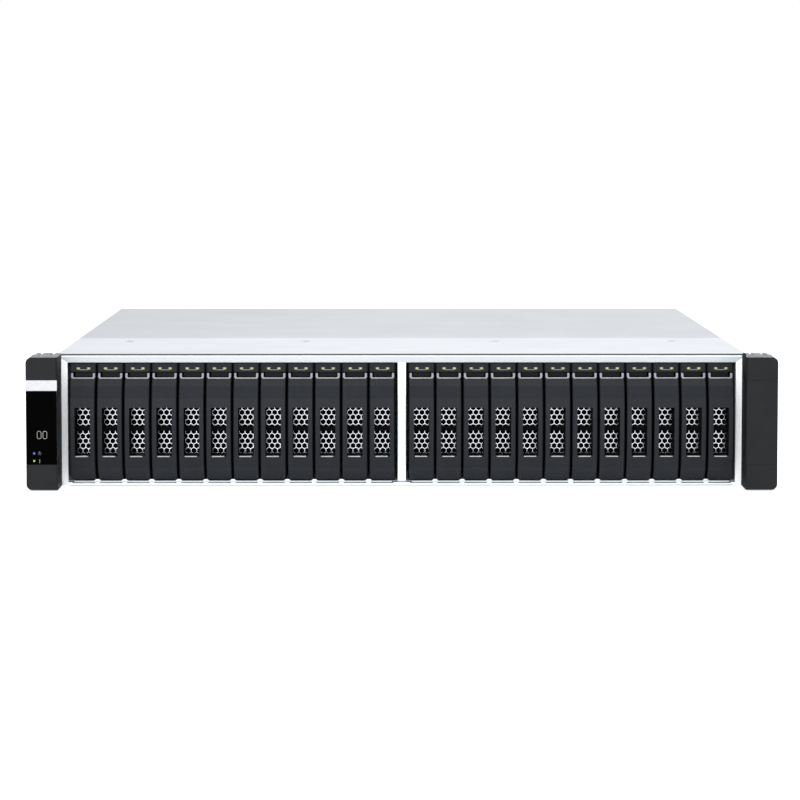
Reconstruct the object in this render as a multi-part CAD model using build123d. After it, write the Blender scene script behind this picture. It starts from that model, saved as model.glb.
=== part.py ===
"""A rack storage server, two units high: a sheet-steel chassis with two banks of twelve slim drive trays,
each with a swinging pull handle, rack ears at both sides, a sliding rear lid and two plug-in power supplies.

It is drawn in millimetres with X to the right, Y towards the rear and Z up. While it is drawn, Y is 0 on
the chassis's front plane. save() then moves every piece back so that the origin is at the bottom centre.
"""

import os
from math import cos, pi

from build123d import *

os.makedirs("parts", exist_ok=True)

# Driving dimensions of the whole
PANEL_WIDTH = 482.6  # over the rack ears, the standard 19-inch panel
CHASSIS_WIDTH = 448.0  # over the covers' side flanges, inside a rack's 450 clear opening
CHASSIS_HEIGHT = 86.0  # two rack units, less the clearance to the neighbours
CHASSIS_DEPTH = 530.0
SHEET = 1.2
EAR_REACH = 30.0  # how far the ears stand before the chassis
PULL_REACH = 22.0  # how far the power supplies' pulls stand behind it
SLIDE_GAP = 0.3  # between pieces that slide past each other
PAST = 1.0  # how far a cutter runs past the face that it opens

# The sheet-metal box, outside to inside
HALF_WIDTH = CHASSIS_WIDTH / 2
COVER_BOTTOM = CHASSIS_HEIGHT - SHEET
WALL_OUTSIDE = HALF_WIDTH - SHEET - 0.2
WALL_INSIDE = WALL_OUTSIDE - SHEET
TOP_FLANGE = 8.4
COVER_FLANGE_BOTTOM = 74.0
COVER_EDGE = 0.5
FRONT_COVER_LENGTH = 160.0
COVER_SEAM = 0.6
COVER_SETBACK = 0.5
LID_LIP_BOTTOM = 79.5
LID_LIP_LEFT, LID_LIP_RIGHT = -210.0, 134.0  # clear of the power supplies' bay

# The bays
BAYS_PER_BANK = 12
BAY_PITCH = 17.65
POST_WIDTH = 5.2
BANK_EDGE = 217.2  # where the outer bay's opening ends, from the centre line
BANK_CENTRE = (POST_WIDTH / 2 + BANK_EDGE) / 2
BAY_FLOOR = 2.6
LIP_TOP = 3.1
BAY_CEILING = 80.4
FRAME_EDGE = 0.6
CAGE_DEPTH = 132.0
RIB_WIDTH = 1.5
RIB_HEIGHT = 3.2
RIB_END_GAP = 4.0

# One drive tray, drawn about its own centre line
TRAY_WIDTH = 16.9
TRAY_BOTTOM = 4.0
TRAY_TOP = 79.8
BEZEL_FRONT = -1.0
BEZEL_BACK = 17.0
HEAD_BOTTOM = 74.3
HEAD_CORNER = 0.8
FRAME_FRONT = 10.0  # the carrier's plate behind the handle
RAIL_HALF_WIDTH = 7.5
RAIL_CLEARANCE = 0.4
RAIL_END = 112.0
RAIL_TAPER = 2.0
BUTTON_HALF_WIDTH = 5.6
BUTTON_SETBACK = 0.4
DRIVE_THICKNESS = 15.0
DRIVE_HEIGHT = 69.85
DRIVE_LENGTH = 100.45
DRIVE_BOTTOM = (TRAY_BOTTOM + TRAY_TOP - DRIVE_HEIGHT) / 2
DRIVE_TOP = DRIVE_BOTTOM + DRIVE_HEIGHT
DRIVE_START = BEZEL_BACK + 0.6
DRIVE_SLOT_DEPTH = 5.0
PLUG_HALF_WIDTH = 2.3
PLUG_HEIGHT = 40.0
PLUG_BOTTOM = 18.0
PLUG_TOP = PLUG_BOTTOM + PLUG_HEIGHT
PLUG_REACH = 9.0  # from the backplane into the drive's slot
DUCT_HALF_WIDTH = 5.0
DUCT_BOTTOM = 19.6
DUCT_TOP = 50.9
LAMP_CENTRE = 0.3
LAMP_OFFSET = 3.3
LAMP_WIDTH = 2.5
LAMP_HEIGHT = 1.5
LAMP_BOTTOM = 75.8
LAMP_PROUD = 0.2

# Its swinging handle
HANDLE_WIDTH = 16.2
HANDLE_BACK = 9.0
HANDLE_TOP = 69.9
HANDLE_EDGE = 0.5
BOW = (  # the face's bowed profile from under the fork down to the foot, (y, z)
    (-2.2, 70.4),
    (-6.2, 65.4),
    (-9.2, 57.5),
    (-10.5, 46.0),
    (-10.2, 31.0),
    (-8.8, 18.0),
    (-7.0, 12.2),
    (-3.6, 8.4),
    (-1.4, 5.6),
)
BOW_FRONT = -10.5
FOOT_FRONT = 0.0
WINDOW_BOTTOM = 20.3
WINDOW_TOP = 51.6
CROSSBAR_FRONT, CROSSBAR_BACK = 5.0, 9.0
CROSSBAR_BOTTOM, CROSSBAR_TOP = 35.3, 38.1
ARM_TOP = 73.6
ARM_BACK = 4.2
ARM_INSIDE = 6.3
FORK_CORNER = 1.2
PIN_Y = 2.4
PIN_Z = 8.2
PIN_RADIUS = 1.0
PIN_CLEARANCE = 0.06
PIN_SIDES = 8
HEEL_TOP = PIN_Z + 6.8  # where the handle's back starts to slope in
HEEL = (PIN_Y + 3.2, PIN_Z + 1.3)  # the knee of that slope, (y, z)
FOOT_BACK = PIN_Y + 2.2
HOOK_RADIUS = 2.1
HOOK_WIDTH = 7.0
HOOK_MOUTH = 1.7
HOOK_NOSE = 1.0
POCKET_HALF_WIDTH = 6.8
POCKET_TOP = PIN_Z + 4.8

# The rack ears
EAR_INSIDE = 221.2
EAR_OUTSIDE = PANEL_WIDTH / 2
EAR_BOTTOM = 0.3
EAR_TOP = 85.7
EAR_CORNER = 3.8
EAR_INNER_CORNER = 0.8
EAR_WALL = 1.8
EAR_FACE = 3.0
PANEL_BOTTOM = 16.7
PANEL_SPLIT = 64.2
PANEL_TOP = 71.1
PANEL_RECESS = 1.5
PANEL_PROUD = 0.3
PANEL_EDGE = 0.4
PANEL_GAP = 0.1
PAD_HEIGHT = 1.1
PAD_SLOPE = 0.7
PAD_FRONT, PAD_BACK = -22.0, -1.0
PAD_NOSE = 1.0
PADS = (  # from the inner side outwards
    (EAR_INSIDE, EAR_OUTSIDE - 16.1),
    (EAR_OUTSIDE - 15.1, EAR_OUTSIDE - 8.5),
    (EAR_OUTSIDE - 7.5, EAR_OUTSIDE - 4.2),
)
EAR_VENT_Y = -13.0
EAR_VENT_ROWS = (8.0, 64.0)
EAR_VENTS_PER_ROW = 4
EAR_VENT_PITCH = 4.0
EAR_VENT_SLANT = 35.0
EAR_VENT_SIZE = (8.0, 15.0, 1.5)
RACK_HOLE_X = 465.1 / 2  # the rack's hole columns
RACK_HOLE_RISE = 44.45 / 2  # one rack unit between the two holes of an ear
RACK_HOLE_RADIUS = 3.4
BRACKET_PLATE = 2.0
BRACKET_GAP = 0.2  # round the plate, so that the ear covers it
BRACKET_LEG = 45.0
BRACKET_BOTTOM = 4.0
RAIL_HOLE_RADIUS = 2.1
RAIL_HOLE_FIRST = 130.0
RAIL_HOLE_STEP = 300.0

# The backplane and the fans
BACKPLANE_FRONT = 124.0
BACKPLANE_THICKNESS = 2.4
AIR_SLOT_HALF_WIDTH = 3.0
AIR_SLOT_BOTTOM, AIR_SLOT_TOP = 22.0, 62.0
FAN_SIZE = 80.0
FAN_DEPTH = 38.0
FAN_FRONT = 171.4
FAN_BOTTOM = 1.6
FAN_WALL_GAP = 0.4
FAN_XS = (-165.0, -55.0, 55.0, 165.0)
HUB_RADIUS = 18.0
HUB_LENGTH = 30.0
STRUT_WIDTH = 5.0
STRUT_DEPTH = 3.0
FAN_DUCT_RADIUS = 38.0
FAN_DUCT_SIDES = 18
BLADES = 5
BLADE_SIZE = (1.6, HUB_LENGTH - 6.0, 22.0)
BLADE_CENTRE = HUB_RADIUS + 8.0
BLADE_PITCH = 38.0

# The system board
BOARD_BOTTOM = 6.0
BOARD_TOP = 7.6
BOARD_LEFT, BOARD_RIGHT = -212.0, 134.0
BOARD_FRONT, BOARD_REAR = 214.0, 526.0
STANDOFF_RADIUS = 2.9
STANDOFF_XS, STANDOFF_YS = (-205.0, -40.0, 128.0), (222.0, 500.0)
CPU_XS = (-125.0, 45.0)
CPU_Y = 290.0
CPU_SOCKET_WIDTH, CPU_SOCKET_LENGTH, CPU_SOCKET_TOP = 76.0, 84.0, 13.0
COOLER_WIDTH, COOLER_LENGTH, COOLER_BASE_TOP, COOLER_TOP, COOLER_FINS = 90.0, 100.0, 18.0, 66.0, 12
FIN_THICKNESS = 1.2
CHIPSET_X, CHIPSET_Y, CHIPSET_SIZE = -60.0, 440.0, 44.0
CHIPSET_BASE_TOP, CHIPSET_TOP, CHIPSET_FINS = 11.0, 30.0, 6
MEMORY_FIRST, MEMORY_PITCH, MEMORY_PER_SIDE = 53.0, 9.4, 3  # from a processor's centre line
MEMORY_SOCKET_WIDTH, MEMORY_SOCKET_LENGTH, MEMORY_SOCKET_TOP = 6.4, 142.0, 13.6
MEMORY_THICKNESS, MEMORY_LENGTH, MEMORY_TOP = 2.8, 133.0, 38.8
SLOT_PITCH = 20.32
CARD_XS = tuple(-200.0 + i * SLOT_PITCH for i in range(4))
CARDS = 2
CARD_HALF_THICKNESS = 0.8
CARD_FRONT, CARD_BOTTOM, CARD_TOP = 386.0, 15.0, 74.0
EDGE_SLOT_HALF_WIDTH, EDGE_SLOT_FRONT, EDGE_SLOT_REAR = 4.0, 400.0, 490.0
CARD_COOLER = (8.2, (420.0, 470.0), (26.0, 66.0))  # its height, front and rear, bottom and top
BRACKET_HALF_WIDTH, BRACKET_THICKNESS = 9.2, 1.0
SLOT_BRACKET_BOTTOM, SLOT_BRACKET_TOP = 7.8, 82.0

# The rear wall
CARD_SLOT_HALF_WIDTH, CARD_SLOT_BOTTOM, CARD_SLOT_TOP = 7.0, 8.0, 78.0
VENT_START, VENT_PITCH, VENTS = -108.0, 18.0, 13
VENT_HALF_WIDTH, VENT_BOTTOM, VENT_TOP = 7.0, 32.0, 76.0

# Its sockets: centre, width, height, mouth width, mouth height, depth, mouth depth
SOCKET_PROUD = 0.4
NETWORK_XS, NETWORK_SIZE = (-92.0, -74.0), (15.9, 13.5, 11.8, 8.2, 21.0, 15.0)
USB_XS, USB_SIZE = (-48.0, -28.0), (14.4, 7.4, 12.6, 5.2, 14.0, 10.0)
FIBRE_XS, FIBRE_SIZE = (4.0, 22.0, 40.0, 58.0), (14.4, 10.0, 13.2, 8.8, 48.0, 44.0)

# The power supplies, whose heights are taken from each one's own bottom
SUPPLY_X = 178.0
SUPPLY_WIDTH = 73.5
SUPPLY_HEIGHT = 39.0
SUPPLY_LENGTH = 195.0
SUPPLY_BOTTOMS = (1.5, 42.7)
SUPPLY_PROUD = 0.8
INLET_X = SUPPLY_X + 20.0
INLET_HALF_WIDTH, INLET_HEIGHT, INLET_DEPTH, INLET_BOTTOM = 12.2, 16.6, 16.0, 9.0
SUPPLY_FAN_X, SUPPLY_FAN_RADIUS, SUPPLY_FAN_DEPTH = SUPPLY_X - 15.0, 16.5, 4.0
EDGE_HALF_WIDTH, EDGE_REACH, EDGE_BOTTOM, EDGE_TOP = 24.0, 8.0, 6.0, 7.6
BAIL_LEFT, BAIL_RIGHT = SUPPLY_X - 35.0, SUPPLY_X + 5.0
BAIL_BOTTOM, BAIL_TOP = 15.5, 23.5
BAIL_THICKNESS, BAIL_CORNER, BAIL_INNER_CORNER = 3.4, 5.0, 3.0
LATCH_LEFT, LATCH_RIGHT = SUPPLY_X + 8.0, SUPPLY_X + 15.0
LATCH_REACH, LATCH_BOTTOM, LATCH_TOP = 12.0, 28.5, 32.0


def block(x0, x1, y0, y1, z0, z1):
    """A box between two opposite corners."""
    return Pos((x0 + x1) / 2, (y0 + y1) / 2, (z0 + z1) / 2) * Box(x1 - x0, y1 - y0, z1 - z0)


def prism_along_x(points, x0, x1):
    """A side profile of (y, z) points, carried from x0 to x1."""
    face = make_face(Polyline(*[(x0, y, z) for y, z in points], close=True))
    return extrude(face, amount=x1 - x0, dir=(1, 0, 0))


def prism_along_y(points, y0, y1):
    """A front profile of (x, z) points, carried from y0 to y1."""
    face = make_face(Polyline(*[(x, y0, z) for x, z in points], close=True))
    return extrude(face, amount=y1 - y0, dir=(0, 1, 0))


def rod_along_x(radius, x0, x1, y, z):
    return Pos((x0 + x1) / 2, y, z) * Rot(0, 90, 0) * Cylinder(radius, x1 - x0)


def rod_along_y(radius, y0, y1, x, z):
    return Pos(x, (y0 + y1) / 2, z) * Rot(90, 0, 0) * Cylinder(radius, y1 - y0)


def facetted_rod_along_x(radius, sides, x0, x1, y, z):
    """A bar of a few flat sides whose corners lie on the radius."""
    rod = extrude(RegularPolygon(radius, sides), (x1 - x0) / 2, both=True)
    return Pos((x0 + x1) / 2, y, z) * Rot(0, 90, 0) * rod


def facetted_rod_along_y(radius, sides, y0, y1, x, z):
    """A bar of a few flat sides whose corners lie on the radius."""
    rod = extrude(RegularPolygon(radius, sides), (y1 - y0) / 2, both=True)
    return Pos(x, (y0 + y1) / 2, z) * Rot(90, 0, 0) * rod


def mirrored(shape):
    """The same piece on the other side of the centre line."""
    return mirror(shape, about=Plane.YZ)


def bay_centres():
    """The bays' centre lines from left to right: two banks on either side of the centre post."""
    steps = [(i - (BAYS_PER_BANK - 1) / 2) * BAY_PITCH for i in range(BAYS_PER_BANK)]
    return [side * BANK_CENTRE + step for side in (-1, 1) for step in steps]


FRONT_Y = -(CHASSIS_DEPTH + PULL_REACH - EAR_REACH - PANEL_PROUD) / 2


def save(name, *solids):
    """Moves a node's pieces to the frame's origin and writes them as one file."""
    pieces = [piece for solid in solids for piece in (Pos(0, FRONT_Y, 0) * solid).solids()]
    export_step(Compound(children=pieces), f"parts/{name}.step")


def hinge_hook():
    """The hook at the carrier's foot that the handle's pin snaps into from below."""
    half = HOOK_WIDTH / 2
    low, high = PIN_Z - HOOK_RADIUS, PIN_Z + HOOK_RADIUS
    nose = PIN_Y - HOOK_RADIUS
    root = [(FRAME_FRONT, low), (FRAME_FRONT, high)]
    cut = HOOK_NOSE
    tip = [(nose + cut, high), (nose, high - cut), (nose, low + cut), (nose + cut, low)]
    mouth = block(-half, half, PIN_Y - HOOK_MOUTH / 2, PIN_Y + HOOK_MOUTH / 2, low, PIN_Z)
    eye_radius = (PIN_RADIUS + PIN_CLEARANCE) / cos(pi / PIN_SIDES)
    eye = facetted_rod_along_x(eye_radius, PIN_SIDES, -half, half, PIN_Y, PIN_Z)
    return prism_along_x(root + tip, -half, half) - [mouth, eye]


def tray_carrier():
    """The moulded head and frame of a drive tray, with the two rails that hold the drive's narrow sides."""
    half = TRAY_WIDTH / 2
    head = block(-half, half, BEZEL_FRONT, FRAME_FRONT, HEAD_BOTTOM, TRAY_TOP)
    head = chamfer(head.edges().filter_by(Axis.Z).group_by(Axis.Y)[0], HEAD_CORNER)
    frame = block(-half, half, FRAME_FRONT, BEZEL_BACK, TRAY_BOTTOM, TRAY_TOP)
    duct = block(-DUCT_HALF_WIDTH, DUCT_HALF_WIDTH, FRAME_FRONT, BEZEL_BACK, DUCT_BOTTOM, DUCT_TOP)
    rails = []
    for low, high in ((TRAY_BOTTOM + RAIL_CLEARANCE, DRIVE_BOTTOM), (DRIVE_TOP, TRAY_TOP - RAIL_CLEARANCE)):
        rail = block(-RAIL_HALF_WIDTH, RAIL_HALF_WIDTH, BEZEL_BACK, RAIL_END, low, high)
        rails.append(chamfer(rail.edges().filter_by(Axis.Z).group_by(Axis.Y)[-1], RAIL_TAPER))
    return head + (frame - duct) + [*rails, hinge_hook()]


def lamp(x):
    """One of the two lamp lenses on the head's face."""
    half = LAMP_WIDTH / 2
    top = LAMP_BOTTOM + LAMP_HEIGHT
    return block(x - half, x + half, BEZEL_FRONT - LAMP_PROUD, BEZEL_FRONT, LAMP_BOTTOM, top)


def release_button():
    """The catch in the slot above the handle, set back so that a fingertip can press it."""
    front = ARM_BACK + BUTTON_SETBACK
    low, high = HANDLE_TOP + 2 * BUTTON_SETBACK, HEAD_BOTTOM - SLIDE_GAP
    return block(-BUTTON_HALF_WIDTH, BUTTON_HALF_WIDTH, front, FRAME_FRONT, low, high)


def drive():
    """A 2.5-inch solid-state drive standing on its edge, with its connector's slot at the rear."""
    half = DRIVE_THICKNESS / 2
    end = DRIVE_START + DRIVE_LENGTH
    mouth = PLUG_HALF_WIDTH + SLIDE_GAP
    slot = block(-mouth, mouth, end - DRIVE_SLOT_DEPTH, end, PLUG_BOTTOM - PAST, PLUG_TOP + PAST)
    return block(-half, half, DRIVE_START, end, DRIVE_BOTTOM, DRIVE_TOP) - slot


def tray_handle():
    """The pull handle: a bowed bar with a vent window through it, a forked top and a pin across its foot."""
    half = HANDLE_WIDTH / 2
    face = [(BEZEL_FRONT, ARM_TOP), *BOW, (FOOT_FRONT, TRAY_BOTTOM)]
    back = [(FOOT_BACK, TRAY_BOTTOM), HEEL, (HANDLE_BACK, HEEL_TOP), (HANDLE_BACK, HANDLE_TOP)]
    bar = prism_along_x([*face, *back, (ARM_BACK, HANDLE_TOP), (ARM_BACK, ARM_TOP)], -half, half)
    front_corners = [
        edge
        for edge in bar.edges().filter_by(Plane.YZ)
        if edge.center().Y < FOOT_FRONT - HANDLE_EDGE
    ]
    bar = chamfer(front_corners, HANDLE_EDGE)
    fork = [
        (-ARM_INSIDE, ARM_TOP + PAST),
        (ARM_INSIDE, ARM_TOP + PAST),
        (ARM_INSIDE, HANDLE_TOP + FORK_CORNER),
        (ARM_INSIDE - FORK_CORNER, HANDLE_TOP),
        (FORK_CORNER - ARM_INSIDE, HANDLE_TOP),
        (-ARM_INSIDE, HANDLE_TOP + FORK_CORNER),
    ]
    bar -= prism_along_y(fork, BOW_FRONT, ARM_BACK)
    window_half = DUCT_HALF_WIDTH
    bar -= block(-window_half, window_half, BOW_FRONT - PAST, HANDLE_BACK, WINDOW_BOTTOM, WINDOW_TOP)
    pocket_half = POCKET_HALF_WIDTH
    bar -= block(-pocket_half, pocket_half, FOOT_FRONT, HANDLE_BACK + PAST, TRAY_BOTTOM - PAST, POCKET_TOP)
    crossbar = (CROSSBAR_FRONT, CROSSBAR_BACK, CROSSBAR_BOTTOM, CROSSBAR_TOP)
    bar += block(-window_half, window_half, *crossbar)
    return bar + facetted_rod_along_x(PIN_RADIUS, PIN_SIDES, -pocket_half, pocket_half, PIN_Y, PIN_Z)


def guide_strips(x):
    """The low and high guide strips between two bays."""
    half = RIB_WIDTH / 2
    start, end = BEZEL_BACK + 1.0, BACKPLANE_FRONT - RIB_END_GAP
    low = block(x - half, x + half, start, end, BAY_FLOOR, BAY_FLOOR + RIB_HEIGHT)
    return [low, block(x - half, x + half, start, end, BAY_CEILING - RIB_HEIGHT, BAY_CEILING)]


def drive_cage():
    """The front frame with its two banks of bays, their guide strips and the centre post."""
    frame = block(-WALL_OUTSIDE, WALL_OUTSIDE, 0, SHEET, 0, COVER_BOTTOM)
    frame = chamfer(frame.edges().filter_by(Axis.X).group_by(Axis.Y)[0].sort_by(Axis.Z)[-1], FRAME_EDGE)
    reach = BANK_EDGE + SHEET
    floor = block(-reach, reach, SHEET, CAGE_DEPTH, SHEET, BAY_FLOOR)
    ceiling = block(-reach, reach, SHEET, CAGE_DEPTH, BAY_CEILING, BAY_CEILING + SHEET)
    wall = block(BANK_EDGE, reach, SHEET, CAGE_DEPTH, BAY_FLOOR, BAY_CEILING)
    opening = block(POST_WIDTH / 2, BANK_EDGE, 0, SHEET, LIP_TOP, BAY_CEILING)
    post = block(-POST_WIDTH / 2, POST_WIDTH / 2, 0, BACKPLANE_FRONT, BAY_FLOOR, BAY_CEILING)
    cage = frame - [opening, mirrored(opening)] + [floor, ceiling, wall, mirrored(wall), post]
    centres = bay_centres()
    widest = BAY_PITCH + POST_WIDTH / 2  # the gap at the centre post is wider and has no strips
    gaps = [(a + b) / 2 for a, b in zip(centres, centres[1:]) if b - a < widest]
    return [cage, *[strip for x in gaps for strip in guide_strips(x)]]


def rack_bracket():
    """The right-hand steel angle that carries an ear: a drilled flange and a leg along the side wall."""
    inside, gap = HALF_WIDTH + BRACKET_GAP, BRACKET_GAP
    flange = block(inside, EAR_OUTSIDE - SLIDE_GAP, 0, BRACKET_PLATE, EAR_BOTTOM + gap, EAR_TOP - gap)
    top = COVER_FLANGE_BOTTOM - 1.0
    leg = block(WALL_OUTSIDE, HALF_WIDTH, 0, BRACKET_LEG, BRACKET_BOTTOM, top)
    bend = block(WALL_OUTSIDE, inside, 0, BRACKET_PLATE, BRACKET_BOTTOM, top)
    heights = [CHASSIS_HEIGHT / 2 + side * RACK_HOLE_RISE for side in (-1, 1)]
    holes = [rod_along_y(RACK_HOLE_RADIUS, -PAST, BRACKET_PLATE + PAST, RACK_HOLE_X, z) for z in heights]
    return flange + [leg, bend] - holes


def socket_rows():
    """Each socket's centre with its size, from left to right along the rear wall."""
    rows = ((NETWORK_XS, NETWORK_SIZE), (USB_XS, USB_SIZE), (FIBRE_XS, FIBRE_SIZE))
    return [(x, size) for xs, size in rows for x in xs]


def rear_cut(x0, x1, z0, z1):
    """A cutter through the rear wall."""
    return block(x0, x1, CHASSIS_DEPTH - SHEET - PAST, CHASSIS_DEPTH + PAST, z0, z1)


def rear_cuts(divider_x, bay_top):
    """The power supplies' bay, the sockets, the card slots and the upright air slots in the rear wall."""
    cuts = [rear_cut(divider_x, 2 * SUPPLY_X - divider_x, SHEET, bay_top)]
    for x, (width, height, *_) in socket_rows():
        half = width / 2 + SLIDE_GAP
        cuts.append(rear_cut(x - half, x + half, BOARD_TOP - SLIDE_GAP, BOARD_TOP + height + SLIDE_GAP))
    half = CARD_SLOT_HALF_WIDTH
    cuts += [rear_cut(x - half, x + half, CARD_SLOT_BOTTOM, CARD_SLOT_TOP) for x in CARD_XS]
    half = VENT_HALF_WIDTH
    centres = [VENT_START + VENT_PITCH * i for i in range(VENTS)]
    return cuts + [rear_cut(x - half, x + half, VENT_BOTTOM, VENT_TOP) for x in centres]


def base_pan():
    """The floor, side walls and rear wall, with the power supplies' bay."""
    rear = CHASSIS_DEPTH
    floor = block(-WALL_OUTSIDE, WALL_OUTSIDE, SHEET, rear, 0, SHEET)
    side = block(WALL_INSIDE, WALL_OUTSIDE, SHEET, rear, 0, COVER_BOTTOM)
    side += block(WALL_INSIDE - TOP_FLANGE, WALL_INSIDE, SHEET, rear, COVER_BOTTOM - SHEET, COVER_BOTTOM)
    for i in range(2):
        y = RAIL_HOLE_FIRST + i * RAIL_HOLE_STEP
        side -= rod_along_x(RAIL_HOLE_RADIUS, WALL_INSIDE - PAST, WALL_OUTSIDE + PAST, y, CHASSIS_HEIGHT / 2)
    back = block(-WALL_INSIDE, WALL_INSIDE, rear - SHEET, rear, 0, COVER_BOTTOM)
    divider_x = SUPPLY_X - SUPPLY_WIDTH / 2 - SLIDE_GAP
    shelf_top = SUPPLY_BOTTOMS[1] - SLIDE_GAP
    bay_top = SUPPLY_BOTTOMS[1] + SUPPLY_HEIGHT + SLIDE_GAP
    divider = block(divider_x - SHEET, divider_x, rear - SUPPLY_LENGTH, rear - SHEET, SHEET, bay_top)
    shelf = block(divider_x, WALL_INSIDE, rear - SUPPLY_LENGTH, rear - SHEET, shelf_top - SHEET, shelf_top)
    return floor + [side, mirrored(side), back - rear_cuts(divider_x, bay_top), divider, shelf]


def standoffs():
    """The hexagonal pillars under the system board."""
    pillar = extrude(RegularPolygon(STANDOFF_RADIUS, 6), BOARD_BOTTOM - SHEET)
    return [Pos(x, y, SHEET) * pillar for x in STANDOFF_XS for y in STANDOFF_YS]


def cover(start, end):
    """A cover sheet with its two side flanges, from one Y to another."""
    sheet = block(-HALF_WIDTH, HALF_WIDTH, start, end, COVER_BOTTOM, CHASSIS_HEIGHT)
    sheet = chamfer(sheet.edges().filter_by(Axis.Y).group_by(Axis.Z)[-1], COVER_EDGE)
    flange = block(HALF_WIDTH - SHEET, HALF_WIDTH, start, end, COVER_FLANGE_BOTTOM, COVER_BOTTOM)
    return sheet + [flange, mirrored(flange)]


def rear_cover():
    """The lid that slides back, with a lip folded down over the rear wall."""
    back = CHASSIS_DEPTH + SHEET
    lip = block(LID_LIP_LEFT, LID_LIP_RIGHT, CHASSIS_DEPTH, back, LID_LIP_BOTTOM, CHASSIS_HEIGHT)
    return cover(FRONT_COVER_LENGTH + COVER_SEAM, CHASSIS_DEPTH) + lip


def grip_pad(x0, x1):
    """One raised pad on an ear's top, with sloping flanks and a sloping front."""
    root, top = EAR_TOP - EAR_WALL / 2, EAR_TOP + PAD_HEIGHT
    foot = [(x0, EAR_TOP), (x0, root), (x1, root), (x1, EAR_TOP)]
    pad = prism_along_y([*foot, (x1 - PAD_SLOPE, top), (x0 + PAD_SLOPE, top)], PAD_FRONT, PAD_BACK)
    return chamfer(pad.edges().filter_by(Axis.X).group_by(Axis.Z)[-1].sort_by(Axis.Y)[0], PAD_NOSE)


def ear_shell():
    """The right-hand ear: a hollow moulding, open at the back, with slanted vents in its inner wall."""
    shell = block(EAR_INSIDE, EAR_OUTSIDE, -EAR_REACH, 0, EAR_BOTTOM, EAR_TOP)
    shell = fillet(shell.edges().filter_by(Axis.Y).group_by(Axis.X)[-1], EAR_CORNER)
    inner_corner = shell.edges().filter_by(Axis.Z).group_by(Axis.X)[0].sort_by(Axis.Y)[0]
    shell = chamfer(inner_corner, EAR_INNER_CORNER)
    shell += [grip_pad(x0, x1) for x0, x1 in PADS]
    left, right = EAR_INSIDE + EAR_WALL, EAR_OUTSIDE - EAR_WALL
    hollow = block(left, right, EAR_FACE - EAR_REACH, 0, EAR_BOTTOM + EAR_WALL, EAR_TOP - EAR_WALL)
    back = PANEL_RECESS - EAR_REACH
    recess = block(EAR_INSIDE - PAST, EAR_OUTSIDE + PAST, -EAR_REACH, back, PANEL_BOTTOM, PANEL_TOP)
    vent = Rot(EAR_VENT_SLANT, 0, 0) * Box(*EAR_VENT_SIZE)
    heights = [low + EAR_VENT_PITCH * i for low in EAR_VENT_ROWS for i in range(EAR_VENTS_PER_ROW)]
    return shell - [hollow, recess, *[Pos(EAR_INSIDE, EAR_VENT_Y, z) * vent for z in heights]]


def ear_insert(bottom, top, proud):
    """A flat insert in the right-hand ear's front recess, which may stand proud of it."""
    front, back = -EAR_REACH - proud, PANEL_RECESS - EAR_REACH
    plate = block(EAR_INSIDE + PANEL_GAP, EAR_OUTSIDE, front, back, bottom + PANEL_GAP, top - PANEL_GAP)
    return chamfer(plate.edges().filter_by(Axis.Z).group_by(Axis.Y)[0].sort_by(Axis.X)[-1], PANEL_EDGE)


def backplane():
    """The board behind the bays, with one upright drive connector per bay and air slots between them."""
    front, back = BACKPLANE_FRONT, BACKPLANE_FRONT + BACKPLANE_THICKNESS
    board = block(-BANK_EDGE, BANK_EDGE, front, back, BAY_FLOOR, BAY_CEILING)
    centres = bay_centres()
    between = [(a + b) / 2 for a, b in zip(centres[1::4], centres[2::4])]
    half = AIR_SLOT_HALF_WIDTH
    board -= [block(x - half, x + half, front, back, AIR_SLOT_BOTTOM, AIR_SLOT_TOP) for x in between]
    half = PLUG_HALF_WIDTH
    plugs = [block(x - half, x + half, front - PLUG_REACH, front, PLUG_BOTTOM, PLUG_TOP) for x in centres]
    return [board, *plugs]


def fan_frame(x):
    """A fan's square housing with its round duct."""
    half = FAN_SIZE / 2
    front, rear = FAN_FRONT, FAN_FRONT + FAN_DEPTH
    body = block(x - half, x + half, front, rear, FAN_BOTTOM, FAN_BOTTOM + FAN_SIZE)
    corner_radius = FAN_DUCT_RADIUS / cos(pi / FAN_DUCT_SIDES)
    return body - facetted_rod_along_y(corner_radius, FAN_DUCT_SIDES, front, rear, x, FAN_BOTTOM + half)


def fan_cross(x):
    """The cross behind a fan's housing that carries the motor."""
    reach, half = FAN_SIZE / 2 - 1, STRUT_WIDTH / 2
    front = FAN_FRONT + FAN_DEPTH
    rear = front + STRUT_DEPTH
    axis_z = FAN_BOTTOM + FAN_SIZE / 2
    level = block(x - reach, x + reach, front, rear, axis_z - half, axis_z + half)
    return level + block(x - half, x + half, front, rear, axis_z - reach, axis_z + reach)


def fan_rotor(x):
    """A hub with pitched blades on the fan's axis, in front of the cross."""
    hub = Rot(90, 0, 0) * extrude(RegularPolygon(HUB_RADIUS, 2 * BLADES), HUB_LENGTH / 2, both=True)
    blade = Pos(0, 0, BLADE_CENTRE) * Rot(0, 0, BLADE_PITCH) * Box(*BLADE_SIZE)
    rotor = hub + [Rot(0, 360.0 * i / BLADES, 0) * blade for i in range(BLADES)]
    return Pos(x, FAN_FRONT + FAN_DEPTH - HUB_LENGTH / 2, FAN_BOTTOM + FAN_SIZE / 2) * rotor


def fan_wall():
    """The steel wall across the chassis, with the four fans behind its square openings."""
    reach = WALL_INSIDE - FAN_WALL_GAP
    front, back = FAN_FRONT - SHEET, FAN_FRONT
    wall = block(-reach, reach, front, back, SHEET, COVER_BOTTOM - SHEET - SLIDE_GAP)
    half = FAN_DUCT_RADIUS
    low, high = FAN_BOTTOM + FAN_SIZE / 2 - half, FAN_BOTTOM + FAN_SIZE / 2 + half
    wall -= [block(x - half, x + half, front, back, low, high) for x in FAN_XS]
    return [wall, *[piece(x) for x in FAN_XS for piece in (fan_frame, fan_cross, fan_rotor)]]


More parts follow.
